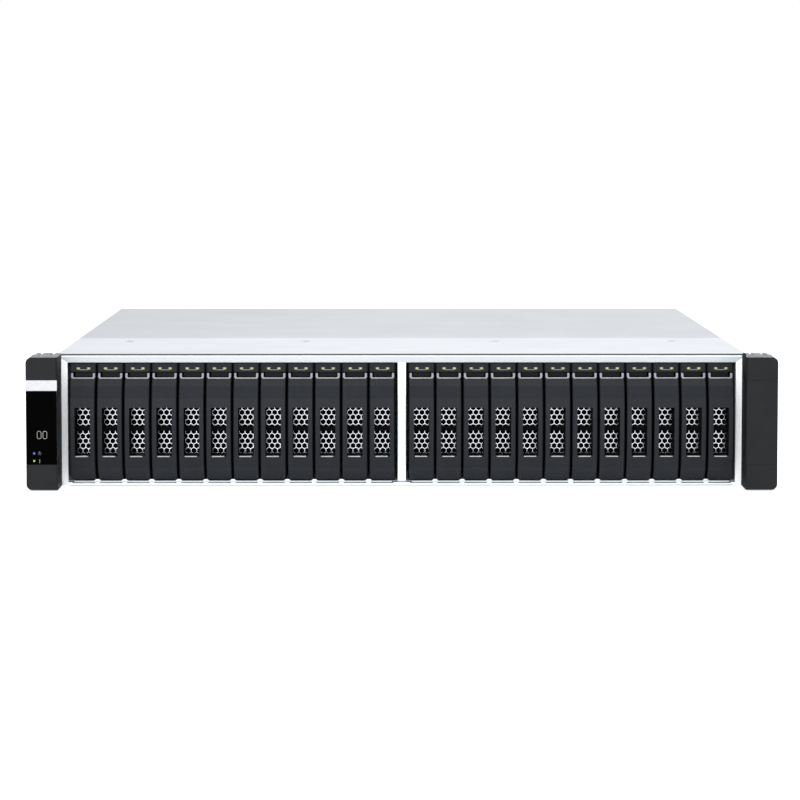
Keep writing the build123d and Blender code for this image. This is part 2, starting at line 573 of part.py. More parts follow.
def heatsink(x, y, width, length, base_bottom, base_top, fin_top, fins):
    """A finned cooler: a base plate with upright fins in line with the air."""
    left, front, rear = x - width / 2, y - length / 2, y + length / 2
    base = block(left, x + width / 2, front, rear, base_bottom, base_top)
    step = (width - FIN_THICKNESS) / (fins - 1)
    starts = [left + i * step for i in range(fins)]
    return base + [block(start, start + FIN_THICKNESS, front, rear, base_top, fin_top) for start in starts]


def processor(x):
    """A processor's socket with its finned cooler on top."""
    half_width, half_length = CPU_SOCKET_WIDTH / 2, CPU_SOCKET_LENGTH / 2
    sides = (x - half_width, x + half_width, CPU_Y - half_length, CPU_Y + half_length)
    cooler_heights = (CPU_SOCKET_TOP, COOLER_BASE_TOP, COOLER_TOP)
    cooler = heatsink(x, CPU_Y, COOLER_WIDTH, COOLER_LENGTH, *cooler_heights, COOLER_FINS)
    return [block(*sides, BOARD_TOP, CPU_SOCKET_TOP), cooler]


def memory_module(x):
    """A memory module standing in its socket beside a processor."""
    half_width, half_length = MEMORY_SOCKET_WIDTH / 2, MEMORY_SOCKET_LENGTH / 2
    sides = (x - half_width, x + half_width, CPU_Y - half_length, CPU_Y + half_length)
    holder = block(*sides, BOARD_TOP, MEMORY_SOCKET_TOP)
    half_width, half_length = MEMORY_THICKNESS / 2, MEMORY_LENGTH / 2
    sides = (x - half_width, x + half_width, CPU_Y - half_length, CPU_Y + half_length)
    return [holder, block(*sides, MEMORY_SOCKET_TOP, MEMORY_TOP)]


def socket(x, size):
    """A rear socket: a metal can with a blind rectangular mouth."""
    width, height, mouth_width, mouth_height, depth, mouth_depth = size
    rear = CHASSIS_DEPTH + SOCKET_PROUD
    can = block(x - width / 2, x + width / 2, rear - depth, rear, BOARD_TOP, BOARD_TOP + height)
    half = mouth_width / 2
    low = BOARD_TOP + (height - mouth_height) / 2
    return can - block(x - half, x + half, rear - mouth_depth, rear, low, low + mouth_height)


def expansion_card(x):
    """A low-profile card in its slot, with its cooler on one face."""
    half = CARD_HALF_THICKNESS
    card_rear = CHASSIS_DEPTH - SHEET - BRACKET_THICKNESS
    card = block(x - half, x + half, CARD_FRONT, card_rear, CARD_BOTTOM, CARD_TOP)
    slot_half = EDGE_SLOT_HALF_WIDTH
    edge_slot = block(x - slot_half, x + slot_half, EDGE_SLOT_FRONT, EDGE_SLOT_REAR, BOARD_TOP, CARD_BOTTOM)
    height, ends, sides = CARD_COOLER
    return [card, edge_slot, block(x + half, x + half + height, *ends, *sides)]


def slot_bracket(x):
    """The plate that closes a card slot from inside the rear wall."""
    back = CHASSIS_DEPTH - SHEET
    half = BRACKET_HALF_WIDTH
    return block(x - half, x + half, back - BRACKET_THICKNESS, back, SLOT_BRACKET_BOTTOM, SLOT_BRACKET_TOP)


def system_board():
    """The main board with its coolers, memory, expansion cards and rear sockets."""
    pieces = [block(BOARD_LEFT, BOARD_RIGHT, BOARD_FRONT, BOARD_REAR, BOARD_BOTTOM, BOARD_TOP)]
    for cpu_x in CPU_XS:
        pieces += processor(cpu_x)
        for side, i in [(side, i) for side in (-1, 1) for i in range(MEMORY_PER_SIDE)]:
            pieces += memory_module(cpu_x + side * (MEMORY_FIRST + MEMORY_PITCH * i))
    for x in CARD_XS[:CARDS]:
        pieces += expansion_card(x)
    pieces += [slot_bracket(x) for x in CARD_XS]
    heights = (BOARD_TOP, CHIPSET_BASE_TOP, CHIPSET_TOP)
    pieces.append(heatsink(CHIPSET_X, CHIPSET_Y, CHIPSET_SIZE, CHIPSET_SIZE, *heights, CHIPSET_FINS))
    pieces += [socket(x, size) for x, size in socket_rows()]
    return pieces


def bail(bottom):
    """A power supply's pull: a bow with cut corners that two fingers reach through."""
    base, end = CHASSIS_DEPTH + SUPPLY_PROUD, CHASSIS_DEPTH + PULL_REACH
    heights = (bottom + BAIL_BOTTOM, bottom + BAIL_TOP)
    outer = block(BAIL_LEFT, BAIL_RIGHT, base, end, *heights)
    outer = chamfer(outer.edges().filter_by(Axis.Z).group_by(Axis.Y)[-1], BAIL_CORNER)
    inner_sides = (BAIL_LEFT + BAIL_THICKNESS, BAIL_RIGHT - BAIL_THICKNESS)
    inner = block(*inner_sides, base, end - BAIL_THICKNESS, *heights)
    return outer - chamfer(inner.edges().filter_by(Axis.Z).group_by(Axis.Y)[-1], BAIL_INNER_CORNER)


def power_supply(bottom):
    """A plug-in power supply: its case with the mains inlet, a bail handle, a latch and an edge connector."""
    rear = CHASSIS_DEPTH + SUPPLY_PROUD
    front = rear - SUPPLY_LENGTH
    half = SUPPLY_WIDTH / 2
    case = block(SUPPLY_X - half, SUPPLY_X + half, front, rear, bottom, bottom + SUPPLY_HEIGHT)
    inlet_sides = (INLET_X - INLET_HALF_WIDTH, INLET_X + INLET_HALF_WIDTH)
    inlet_low = bottom + INLET_BOTTOM
    case -= block(*inlet_sides, rear - INLET_DEPTH, rear, inlet_low, inlet_low + INLET_HEIGHT)
    fan_z = bottom + SUPPLY_HEIGHT / 2
    fan_front = rear - SUPPLY_FAN_DEPTH
    case -= facetted_rod_along_y(SUPPLY_FAN_RADIUS, FAN_DUCT_SIDES, fan_front, rear, SUPPLY_FAN_X, fan_z)
    edge_sides = (SUPPLY_X - EDGE_HALF_WIDTH, SUPPLY_X + EDGE_HALF_WIDTH)
    edge = block(*edge_sides, front - EDGE_REACH, front, bottom + EDGE_BOTTOM, bottom + EDGE_TOP)
    latch_heights = (bottom + LATCH_BOTTOM, bottom + LATCH_TOP)
    latch = block(LATCH_LEFT, LATCH_RIGHT, rear, rear + LATCH_REACH, *latch_heights)
    return [case, edge, bail(bottom), latch]


lamps = [lamp(LAMP_CENTRE - LAMP_OFFSET), lamp(LAMP_CENTRE + LAMP_OFFSET)]
carrier_parts = [tray_carrier(), *lamps, release_button(), drive()]
handle = tray_handle()
for number, x in enumerate(bay_centres(), start=1):
    save(f"drive_tray_{number:02d}", *[Pos(x, 0, 0) * piece for piece in carrier_parts])
    save(f"tray_handle_{number:02d}", Pos(x, 0, 0) * handle)

bracket = rack_bracket()
save("base_pan", base_pan(), *standoffs(), bracket, mirrored(bracket))
save("drive_cage", *drive_cage())
save("front_cover", cover(COVER_SETBACK, FRONT_COVER_LENGTH))
save("rear_cover", rear_cover())
right_shell = ear_shell()
save("right_ear", right_shell, ear_insert(PANEL_BOTTOM, PANEL_TOP, 0.0))
save("left_ear", mirrored(right_shell))
lower_panel = ear_insert(PANEL_BOTTOM, PANEL_SPLIT, PANEL_PROUD)
upper_panel = ear_insert(PANEL_SPLIT, PANEL_TOP, PANEL_PROUD)
save("control_panel", mirrored(lower_panel), mirrored(upper_panel))
save("backplane", *backplane())
save("fan_wall", *fan_wall())
save("system_board", *system_board())
for number, bottom in enumerate(SUPPLY_BOTTOMS, start=1):
    save(f"power_supply_{number}", *power_supply(bottom))
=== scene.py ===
"""Looks for a two-unit rack storage server with 24 slim drive trays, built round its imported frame.

Sizes are in millimetres in the part's drawing, with X to the right, Y to the rear from the chassis's
front plane and Z up. piece() moves them to the frame's own origin and to metres.
"""

import math

import bmesh
import bpy
import numpy as np
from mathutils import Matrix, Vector


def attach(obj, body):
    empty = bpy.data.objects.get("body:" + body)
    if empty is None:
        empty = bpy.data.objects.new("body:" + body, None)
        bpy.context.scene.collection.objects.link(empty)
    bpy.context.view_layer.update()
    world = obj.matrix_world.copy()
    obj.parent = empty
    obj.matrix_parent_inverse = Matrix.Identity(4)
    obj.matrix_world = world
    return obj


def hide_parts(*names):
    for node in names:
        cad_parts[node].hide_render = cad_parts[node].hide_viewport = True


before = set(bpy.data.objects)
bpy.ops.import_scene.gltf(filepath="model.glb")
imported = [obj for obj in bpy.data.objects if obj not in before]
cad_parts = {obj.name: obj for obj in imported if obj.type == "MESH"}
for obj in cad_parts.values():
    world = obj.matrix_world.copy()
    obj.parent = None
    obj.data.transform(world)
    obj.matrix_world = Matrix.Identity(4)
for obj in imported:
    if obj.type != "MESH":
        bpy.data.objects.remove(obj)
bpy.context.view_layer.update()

MM = 0.001
FRONT_Y = -260.85  # where the chassis's front plane lies in the frame

# The bays and trays, as the CAD part has them
BANK_CENTRE = 109.9
BAY_PITCH = 17.65
BAYS_PER_BANK = 12
BAY_XS = [side * BANK_CENTRE + (i - 5.5) * BAY_PITCH for side in (-1, 1) for i in range(BAYS_PER_BANK)]
BEZEL_FRONT = -1.0
DUCT_HALF_WIDTH, DUCT_BOTTOM, DUCT_TOP = 5.0, 19.6, 50.9
LAMP_CENTRE, LAMP_OFFSET, LAMP_BOTTOM, LAMP_TOP = 0.3, 3.3, 75.8, 77.3
DRIVE_BOX = (17.5, 118.2, 6.9, 76.9)  # its start, end, bottom and top
# The handle's bowed face from its foot to its fork: heights, and the depth at each
FACE_HEIGHTS = (4.0, 5.6, 8.4, 12.2, 18.0, 31.0, 46.0, 57.5, 65.4, 70.4, 73.6)
FACE_DEPTHS = (0.0, -1.4, -3.6, -7.0, -8.8, -10.2, -10.5, -9.2, -6.2, -2.2, -1.0)
HANDLE_HALF_WIDTH = 8.1
WINDOW_BOTTOM, WINDOW_TOP = 20.2, 51.7  # the vent window through the handle
# The chassis and what stands behind
CHASSIS_TOP = 86.0
BOARD_TOP = 7.6
CPU_XS, CPU_Y = (-125.0, 45.0), 290.0
MEMORY_OFFSETS = (53.0, 62.4, 71.8)  # from a processor's centre line, on both sides
CARD_XS = (-200.0, -179.68)
STANDOFFS = [(x, y) for x in (-205.0, -40.0, 128.0) for y in (222.0, 500.0)]
SUPPLY_BOTTOMS, SUPPLY_REAR, SUPPLY_FRONT = (1.5, 42.7), 530.8, 335.8
SUPPLY_FAN_X, SUPPLY_FAN_RISE = 163.0, 19.5
INLET_X, INLET_RISE = 198.0, 17.3
FAN_FRONT = 171.4


# Forms: points, the faces' corners in one row, and each face's number of corners


def form(points, *faces):
    """Points with faces given as arrays, one face a row."""
    faces = [np.atleast_2d(f) for f in faces]
    counts = [np.full(len(f), f.shape[1]) for f in faces]
    return np.asarray(points, float), np.concatenate([f.ravel() for f in faces]), np.concatenate(counts)


def joined(*forms):
    """Several forms as one: each one's corners are counted on from the points before it."""
    starts = np.cumsum([0] + [len(f[0]) for f in forms[:-1]])
    corners = [f[1] + start for f, start in zip(forms, starts)]
    return np.concatenate([f[0] for f in forms]), np.concatenate(corners), np.concatenate([f[2] for f in forms])


def repeated(shape, offsets):
    """Copies of a form, each moved by one (x, y, z) offset."""
    return joined(*[(shape[0] + np.asarray(offset, float), shape[1], shape[2]) for offset in offsets])


def mitres(path, closed):
    """For each point of a flat path, the step that shifts both runs beside it one unit to their right:
    the sum of the two runs' right-hand normals, over one plus their directions' product."""
    ahead = np.roll(path, -1, 0) - path
    if not closed:
        ahead[-1] = ahead[-2]
    ahead /= np.linalg.norm(ahead, axis=1)[:, None]
    behind = np.roll(ahead, 1, 0)
    if not closed:
        behind[0] = ahead[0]
    both = (ahead + behind)[:, ::-1] * (1, -1)
    return both / (1 + (ahead * behind).sum(1))[:, None]


def swept(path, section, closed=True):
    """A section carried along a path (x, z): its point (s, d) stands s to the path's right, and at depth y = d."""
    path, section = np.asarray(path, float), np.asarray(section, float)
    beside = path[:, None] + mitres(path, closed)[:, None] * section[None, :, :1]
    depth = np.broadcast_to(section[:, 1], beside.shape[:2])
    points = np.stack([beside[..., 0], depth, beside[..., 1]], -1).reshape(-1, 3)
    rows, columns = len(path), len(section)
    i = np.arange(rows if closed else rows - 1)[:, None] * columns
    j = np.arange(columns)[None]
    after, beyond = (i + columns) % (rows * columns), (j + 1) % columns
    sides = np.stack([i + j, i + beyond, after + beyond, after + j], -1).reshape(-1, 4)
    ends = [] if closed else [np.arange(columns)[::-1], np.arange(columns) + (rows - 1) * columns]
    return form(points, sides, *ends)


def lofted(lines):
    """A skin over matching lines of points, taken in turn round the form and back to the first, with both
    ends filled in."""
    lines = np.asarray(lines, float)
    count, length = lines.shape[:2]
    i = np.arange(count)[:, None] * length
    j = np.arange(length - 1)[None]
    after = (i + length) % (count * length)
    sides = np.stack([i + j, after + j, after + j + 1, i + j + 1], -1).reshape(-1, 4)
    ends = [np.arange(count)[::-1] * length, np.arange(count) * length + length - 1]
    return form(lines.reshape(-1, 3), sides, *ends)


AXES = {"x": (2, 0, 1), "y": (0, 2, 1), "z": (0, 1, 2)}


def stacked(outline, levels, axis="z"):
    """A closed outline (u, v) carried through levels (height, inset) along an axis: at each height it is
    drawn in by the inset, square to its sides, and the first and last outlines are filled in."""
    outline = np.asarray(outline, float)
    inward = -mitres(outline, True)
    rings = [np.c_[outline + inward * inset, np.full(len(outline), height)] for height, inset in levels]
    points = np.concatenate(rings)[:, AXES[axis]]
    size = len(outline)
    i = np.arange(len(levels) - 1)[:, None] * size
    j = np.arange(size)[None]
    after = (j + 1) % size
    sides = np.stack([i + j, i + after, i + size + after, i + size + j], -1).reshape(-1, 4)
    return form(points, sides, np.arange(size)[::-1], np.arange(size) + (len(levels) - 1) * size)


def rectangle(left, right, low, high):
    """Four corners, counter-clockwise."""
    return [(left, low), (right, low), (right, high), (left, high)]


def disc(x, z, radius, sides=20, start=0.0):
    """Points on a circle, counter-clockwise."""
    turn = start + np.arange(sides) * 2 * math.pi / sides
    return np.c_[x + radius * np.cos(turn), z + radius * np.sin(turn)]


def rounded(left, right, low, high, radius, steps=4):
    """A rectangle whose corners are quarter circles, counter-clockwise."""
    turn = np.radians(np.linspace(0, 90, steps + 1))
    middles = [(right - radius, low + radius), (right - radius, high - radius),
               (left + radius, high - radius), (left + radius, low + radius)]
    arcs = [np.c_[x + radius * np.cos(turn + a), z + radius * np.sin(turn + a)]
            for (x, z), a in zip(middles, np.radians([-90, 0, 90, 180]))]
    return np.concatenate(arcs)


def plate(outline, near, far, edge, axis="y"):
    """A flat piece between two depths with its near edge broken by a small chamfer."""
    return stacked(outline, [(far, 0), (near + edge, 0), (near, edge)], axis)


def pierced(left, right, low, high, near, far, pitch, web, start):
    """A sheet pierced by upright hexagons in staggered rows. Each cell is a hexagon with radius pitch / sqrt 3
    and a hole smaller by the web. Points beyond the border are brought to it. The flat faces are merged at
    their shared points, and a wall joins front and back along each edge that only one face has."""
    rise = pitch * math.sqrt(3) / 2
    rows = np.arange(math.floor((low - start) / rise) - 1, math.ceil((high - start) / rise) + 2)
    columns = np.arange(math.floor(left / pitch) - 1, math.ceil(right / pitch) + 2)
    row, column = (grid.ravel() for grid in np.meshgrid(rows, columns, indexing="ij"))
    centres = np.c_[(column + (row % 2) / 2) * pitch, start + row * rise]
    turn = np.radians(30 + 60 * np.arange(6))
    spokes = np.c_[np.cos(turn), np.sin(turn)] / math.sqrt(3)
    rings = np.stack([centres[:, None] + spokes * reach for reach in (pitch, pitch - web)], 1)
    rings = np.clip(rings, (left, low), (right, high))
    i, after = np.arange(6), (np.arange(6) + 1) % 6
    quads = np.stack([rings[:, 0, i], rings[:, 0, after], rings[:, 1, after], rings[:, 1, i]], 2)
    flat, index = np.unique(np.round(quads.reshape(-1, 2), 3), axis=0, return_inverse=True)
    quads = index.reshape(-1, 4)
    faces = np.concatenate([quads[:, [0, 1, 2]], quads[:, [0, 2, 3]]])
    a, b, c = flat[faces].transpose(1, 0, 2)
    area = (b - a)[:, 0] * (c - a)[:, 1] - (b - a)[:, 1] * (c - a)[:, 0]
    faces = faces[np.abs(area) > 1e-3]
    edges = np.stack([faces, np.roll(faces, -1, 1)], -1).reshape(-1, 2)
    _, first, uses = np.unique(np.sort(edges, 1), axis=0, return_index=True, return_counts=True)
    rim = edges[first[uses == 1]]
    size = len(flat)
    points = np.concatenate([np.insert(flat, 1, near, 1), np.insert(flat, 1, far, 1)])
    return form(points, faces, faces[:, ::-1] + size, np.c_[rim[:, ::-1], rim + size])


# Finishes


def linear(code):
    """An sRGB hex colour as linear red, green, blue and alpha."""
    part = np.array([int(code[i : i + 2], 16) / 255 for i in (0, 2, 4)])
    return (*np.where(part <= 0.04045, part / 12.92, ((part + 0.055) / 1.055) ** 2.4), 1.0)


def add(tree, kind, inputs=None, **settings):
    """Adds a shader node with its settings; an input is a value, or a socket to link."""
    node = tree.nodes.new("ShaderNode" + kind)
    for name, value in settings.items():
        setattr(node, name, value)
    for name, value in (inputs or {}).items():
        if isinstance(value, bpy.types.NodeSocket):
            tree.links.new(value, node.inputs[name])
        else:
            node.inputs[name].default_value = value
    return node


def blank(name):
    """A material with one principled shader on its output."""
    material = bpy.data.materials.new(name)
    material.use_nodes = True
    tree = material.node_tree
    tree.nodes.clear()
    shader = add(tree, "BsdfPrincipled")
    add(tree, "OutputMaterial", {"Surface": shader.outputs[0]})
    return material, tree, shader


def surface(name, light, dark, cloud, grain, stretch, rough, height, **fixed):
    """A material whose tone drifts between two colours over clouds of one size, while its roughness and its
    bump follow a finer grain that may be stretched along an axis. cloud, grain and height are in mm."""
    material, tree, shader = blank(name)
    place = add(tree, "TexCoord").outputs["Object"]
    clouds = add(tree, "TexNoise", {"Vector": place, "Scale": 1 / (cloud * MM), "Detail": 3.0})
    drawn = add(tree, "Mapping", {"Vector": place, "Scale": stretch})
    grains = add(tree, "TexNoise", {"Vector": drawn.outputs[0], "Scale": 1 / (grain * MM), "Detail": 2.0})
    blend = add(tree, "Math", {0: clouds.outputs[0], 1: grains.outputs[0]}, operation="MULTIPLY")
    spread = add(tree, "MapRange", {"Value": blend.outputs[0], "From Min": 0.12, "From Max": 0.38})
    tone = add(tree, "Mix", {0: spread.outputs[0], 6: linear(dark), 7: linear(light)}, data_type="RGBA")
    dull = add(tree, "MapRange", {"Value": grains.outputs[0], "From Min": 0.3, "From Max": 0.7,
                                  "To Min": rough[0], "To Max": rough[1]})
    bump = add(tree, "Bump", {"Height": grains.outputs[0], "Strength": 1.0, "Distance": height * MM})
    links = {"Base Color": tone.outputs[2], "Roughness": dull.outputs[0], "Normal": bump.outputs[0]}
    for socket, source in links.items():
        tree.links.new(source, shader.inputs[socket])
    for socket, value in fixed.items():
        shader.inputs[socket.replace("_", " ")].default_value = value
    return material


def glowing(name, lens, light, strength):
    """A light pipe: a clear lens whose glow is a little stronger in the middle of fine moulded flutes."""
    material, tree, shader = blank(name)
    place = add(tree, "TexCoord").outputs["Object"]
    flutes = add(tree, "TexWave", {"Vector": place, "Scale": 1 / (1.2 * MM) / 20, "Distortion": 0.0})
    power = add(tree, "MapRange", {"Value": flutes.outputs[1], "To Min": 0.75 * strength, "To Max": strength})
    shader.inputs["Base Color"].default_value = linear(lens)
    shader.inputs["Roughness"].default_value = 0.25
    shader.inputs["Emission Color"].default_value = linear(light)
    tree.links.new(power.outputs[0], shader.inputs["Emission Strength"])
    return material


# Electro-galvanised sheet steel: bright, slightly blue and satin, with rolling lines too fine to count
FRAME_STEEL = surface("galvanised_steel_frame", "F2F8FB", "E6EFF4", 40, 1.5, (0.2, 1, 1), (0.42, 0.5), 0.004,
                      Metallic=0.15)
# The band over the bays is the same sheet painted a shade deeper and bluer: painted shade, to hold down the front light
# that falls on it
BROW_STEEL_PAINTED_SHADE = surface("galvanised_steel_brow_painted_shade", "B3BBBF", "AAB3B8", 60, 1.5, (0.1, 1, 1), (0.42, 0.5), 0.004,
                     Metallic=0.15)
# The upright flanges beside the ears are the same sheet painted almost white: painted light, to lift them out of the
# shade that the ears cast
FLANGE_STEEL_PAINTED_LIGHT = surface("galvanised_steel_flange_painted_light", "FDFEFF", "F6FAFD", 40, 1.5, (0.2, 1, 1), (0.45, 0.55), 0.004,
                       Metallic=0.0)
PAN_STEEL = surface("galvanised_steel_pan", "DFE5E8", "C9D0D5", 25, 2.0, (1, 0.15, 1), (0.38, 0.48), 0.006,
                    Metallic=0.55)
# The covers are the same sheet with a clear coat: smoother, and almost white where they catch the light
COVER_STEEL = surface("coated_steel_cover", "DDDFE4", "D3D5DB", 60, 1.6, (0.12, 1, 1), (0.36, 0.44), 0.003,
                      Metallic=0.2)
# The rear cover is the same coated sheet painted a shade greyer: painted shade for the covers' falloff towards the back
LID_STEEL_PAINTED_SHADE = surface("coated_steel_lid_painted_shade", "C8CACE", "BEC0C5", 60, 1.6, (0.12, 1, 1), (0.38, 0.46), 0.003,
                    Metallic=0.25)
# Moulded ABS with a spark-eroded texture: a dull charcoal whose grain breaks up reflections
EAR_ABS = surface("moulded_abs_ear", "191A1C", "151618", 12, 0.6, (1, 1, 1), (0.46, 0.56), 0.015,
                  Specular_IOR_Level=0.13)
HANDLE_ABS = surface("moulded_abs_handle", "1B1E23", "181A1F", 10, 0.5, (1, 1, 1), (0.46, 0.56), 0.01,
                     Specular_IOR_Level=0.14)
TRAY_ABS = surface("moulded_abs_tray", "191A1E", "15161A", 10, 0.5, (1, 1, 1), (0.46, 0.56), 0.01,
                   Specular_IOR_Level=0.14)
# The same plastic painted matt and almost black: painted shade on the handles' flanks and right-hand chamfers and on
# the left ear's inner wall
FLANK_ABS_PAINTED_SHADE = surface("moulded_abs_flank_painted_shade", "101114", "0B0C0E", 8, 0.5, (1, 1, 1), (0.55, 0.65), 0.01,
                    Specular_IOR_Level=0.12)
BUTTON_ABS = surface("moulded_abs_button", "0A0A0B", "070708", 6, 0.5, (1, 1, 1), (0.4, 0.5), 0.01,
                     Specular_IOR_Level=0.15)
# The pads on the ears' tops are smoother, and painted pale grey: a painted sheen where they catch the light at a low
# angle
PAD_ABS_PAINTED_SHEEN = surface("abs_pad_painted_sheen", "7B7B80", "6C6C71", 8, 0.6, (1, 1, 1), (0.3, 0.4), 0.01)
# The handle's fork ends in a rim painted pale grey, and its ledge is painted paler still: painted highlights where
# their edges catch the light
LIP_ABS_PAINTED_HIGHLIGHT = surface("abs_lip_painted_highlight", "8B8D93", "7D7F86", 5, 0.5, (1, 1, 1), (0.28, 0.36), 0.004)
SILL_ABS_PAINTED_HIGHLIGHT = surface("abs_ledge_painted_highlight", "A5A8AE", "989BA2", 5, 0.5, (1, 1, 1), (0.3, 0.38), 0.004)
# Acrylic over a black backing: deep, even gloss
PANEL_ACRYLIC = surface("black_acrylic_panel", "020202", "010101", 30, 3.0, (1, 1, 1), (0.05, 0.08), 0.0005,
                        Specular_IOR_Level=0.01)
STRIP_ACRYLIC = surface("white_acrylic_strip", "BDBDC2", "B6B6BB", 20, 2.0, (1, 1, 1), (0.2, 0.26), 0.0008)
# Nickel-plated steel, etched through: bright webs that mirror whatever is pale
WEB_NICKEL = surface("nickel_plated_steel_mesh", "D6D8DD", "C6C8CE", 4, 0.8, (1, 1, 1), (0.14, 0.22), 0.002,
                     Metallic=0.95)
# The sheet's sheared edge has lost its zinc, and its grey is deepened with painted shade: a dark grey line. The screws'
# crosses wear it too, as painted shade in their recesses
CUT_EDGE_AND_PAINTED_SHADE = surface("sheared_edge_and_painted_shade", "4B4F54", "404449", 10, 0.8, (1, 1, 1), (0.5, 0.6), 0.004, Metallic=0.2)
# The hem under the trays, painted grey: painted shade on its bead's underside and under the trays
HEM_STEEL_PAINTED_SHADE = surface("steel_hem_painted_shade", "A9AFB6", "9CA2AA", 6, 0.8, (0.2, 1, 1), (0.4, 0.5), 0.004, Metallic=0.2)
# The sole along the bottom, painted darker: a painted contact shadow
SOLE_STEEL_PAINTED_SHADOW = surface("steel_sole_painted_shadow", "90969B", "868C92", 6, 0.8, (0.2, 1, 1), (0.4, 0.5), 0.004, Metallic=0.2)
# Near-black plates: painted shadow and reflection of the trays at their feet, and painted shade in the notches
SLOT_STEEL_PAINTED_SHADOW = surface("steel_slot_painted_shadow", "1D2024", "181B1E", 4, 0.8, (1, 1, 1), (0.5, 0.6), 0.006)
SCREW_STEEL = surface("zinc_plated_screw", "C9CBCF", "B2B4B9", 3, 0.6, (1, 1, 1), (0.26, 0.36), 0.004,
                      Metallic=0.9)
SHADE_BLACK = surface("unlit_black_cavity", "070708", "040405", 10, 1.0, (1, 1, 1), (0.7, 0.8), 0.004,
                      Specular_IOR_Level=0.1)
# Blasted and anodised aluminium: an even, dull silver
DRIVE_ALUMINIUM = surface("blasted_aluminium_drive", "B9BBBF", "A9ABB0", 20, 0.8, (1, 1, 1), (0.36, 0.46), 0.008,
                          Metallic=0.85)
FIN_ALUMINIUM = surface("extruded_aluminium_fins", "C9CBCE", "B7B9BD", 20, 1.0, (1, 0.1, 1), (0.3, 0.4), 0.006,
                        Metallic=0.9)
# Epoxy glass board under solder mask: glossy green with the copper's pattern showing through as paler green
BOARD_GREEN = surface("solder_mask_board", "1F5A3A", "123C27", 3, 1.6, (1, 0.3, 1), (0.24, 0.34), 0.01)
MODULE_GREEN = surface("solder_mask_module", "22613C", "174A2C", 2, 1.0, (1, 0.3, 1), (0.26, 0.36), 0.01)
CONNECTOR_NYLON = surface("moulded_nylon_connector", "1C1C1E", "151517", 8, 0.6, (1, 1, 1), (0.4, 0.5), 0.008)
STRIP_NYLON = surface("moulded_nylon_guide", "2A2B2E", "212225", 8, 0.6, (1, 0.2, 1), (0.4, 0.5), 0.008)
FAN_PBT = surface("moulded_pbt_fan", "1E1F21", "17181A", 12, 0.6, (1, 1, 1), (0.38, 0.48), 0.01)
PULL_PA = surface("moulded_nylon_pull", "26272A", "1E1F21", 8, 0.5, (1, 1, 1), (0.44, 0.54), 0.012)
LATCH_PA = surface("moulded_nylon_latch", "B4552C", "A04824", 6, 0.5, (1, 1, 1), (0.42, 0.52), 0.012)
SUPPLY_STEEL = surface("galvanised_steel_supply", "C9CED2", "B6BCC1", 20, 1.6, (1, 0.2, 1), (0.36, 0.46), 0.006,
                       Metallic=0.7)
SOCKET_NICKEL = surface("nickel_plated_socket", "D3D2CC", "BFBEB8", 10, 0.8, (1, 0.3, 1), (0.24, 0.34), 0.003,
                        Metallic=0.95)
BRASS = surface("turned_brass", "C9A457", "B08C42", 3, 0.4, (1, 1, 0.2), (0.28, 0.36), 0.003, Metallic=1.0)
CONTACT_GOLD = surface("gold_plated_contact", "E0B75A", "C79C42", 3, 0.8, (1, 1, 1), (0.22, 0.3), 0.002,
                       Metallic=1.0)
CHIP_EPOXY = surface("moulded_epoxy_chip", "232326", "1A1A1C", 6, 0.5, (1, 1, 1), (0.45, 0.55), 0.008)
CAN_ALUMINIUM = surface("drawn_aluminium_can", "C6C8CB", "B3B5B9", 4, 0.5, (1, 1, 0.2), (0.25, 0.33), 0.002,
                        Metallic=0.95)
# Polycarbonate light pipes, lit from behind
TRAY_LAMP = glowing("lit_polycarbonate_green", "464C2E", "A9B35C", 0.10)
LAMP_CORE = glowing("lit_polycarbonate_core", "70784A", "D9E39A", 0.42)
LAMP_LINE = glowing("lit_polycarbonate_line", "43434F", "ABABBF", 0.40)
POWER_LAMP = glowing("lit_polycarbonate_blue", "2A3070", "6470E8", 0.8)
STATUS_LAMP = glowing("lit_polycarbonate_lime", "606E30", "B5DC3C", 0.55)
DIGIT_LAMP = glowing("lit_display_segment", "8A8984", "C9C7BE", 0.42)
ICON_INK = glowing("backlit_icon_ink", "6E7A70", "7A877C", 0.25)


# Pieces


def piece(name, body, *dressed, slot=None, replaces=()):
    """One object that rides on a body. Each of dressed is a material and the form that wears it."""
    points, corners, counts = joined(*[shape for _, shape in dressed])
    mesh = bpy.data.meshes.new(name)
    faces = np.split(corners, np.cumsum(counts)[:-1])
    mesh.from_pydata((points + (0, FRONT_Y, 0)) * MM, [], faces)
    for material, _ in dressed:
        mesh.materials.append(material)
    index = np.repeat(np.arange(len(dressed)), [len(shape[2]) for _, shape in dressed])
    mesh.polygons.foreach_set("material_index", index.astype(np.int32))
    work = bmesh.new()
    work.from_mesh(mesh)
    bmesh.ops.recalc_face_normals(work, faces=work.faces)
    work.to_mesh(mesh)
    work.free()
    mesh.shade_smooth()
    mesh.set_sharp_from_angle(angle=math.radians(32))
    thing = bpy.data.objects.new(name, mesh)
    bpy.context.scene.collection.objects.link(thing)
    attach(thing, body)
    if replaces:
        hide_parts(*replaces)
    return thing


def paint(node, base, *rules):
    """Gives a CAD node's faces a base material, and another one wherever a rule holds for a face's middle."""
    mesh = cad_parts[node].data
    middle = np.empty(len(mesh.polygons) * 3)
    mesh.polygons.foreach_get("center", middle)
    x, y, z = (middle.reshape(-1, 3) / MM - (0, FRONT_Y, 0)).T
    index = np.zeros(len(x), np.int32)
    mesh.materials.clear()
    mesh.materials.append(base)
    for material, holds in rules:
        mesh.materials.append(material)
        index[holds(x, y, z)] = len(mesh.materials) - 1
    mesh.polygons.foreach_set("material_index", index)
    mesh.update()


def box(left, right, near, far, low, high, edge):
    """A block whose upright corners are rounded and whose two flat ends are broken by a chamfer."""
    outline = rounded(left, right, near, far, 2 * edge, 2)
    return stacked(outline, [(low, edge), (low + edge, 0), (high - edge, 0), (high, edge)])


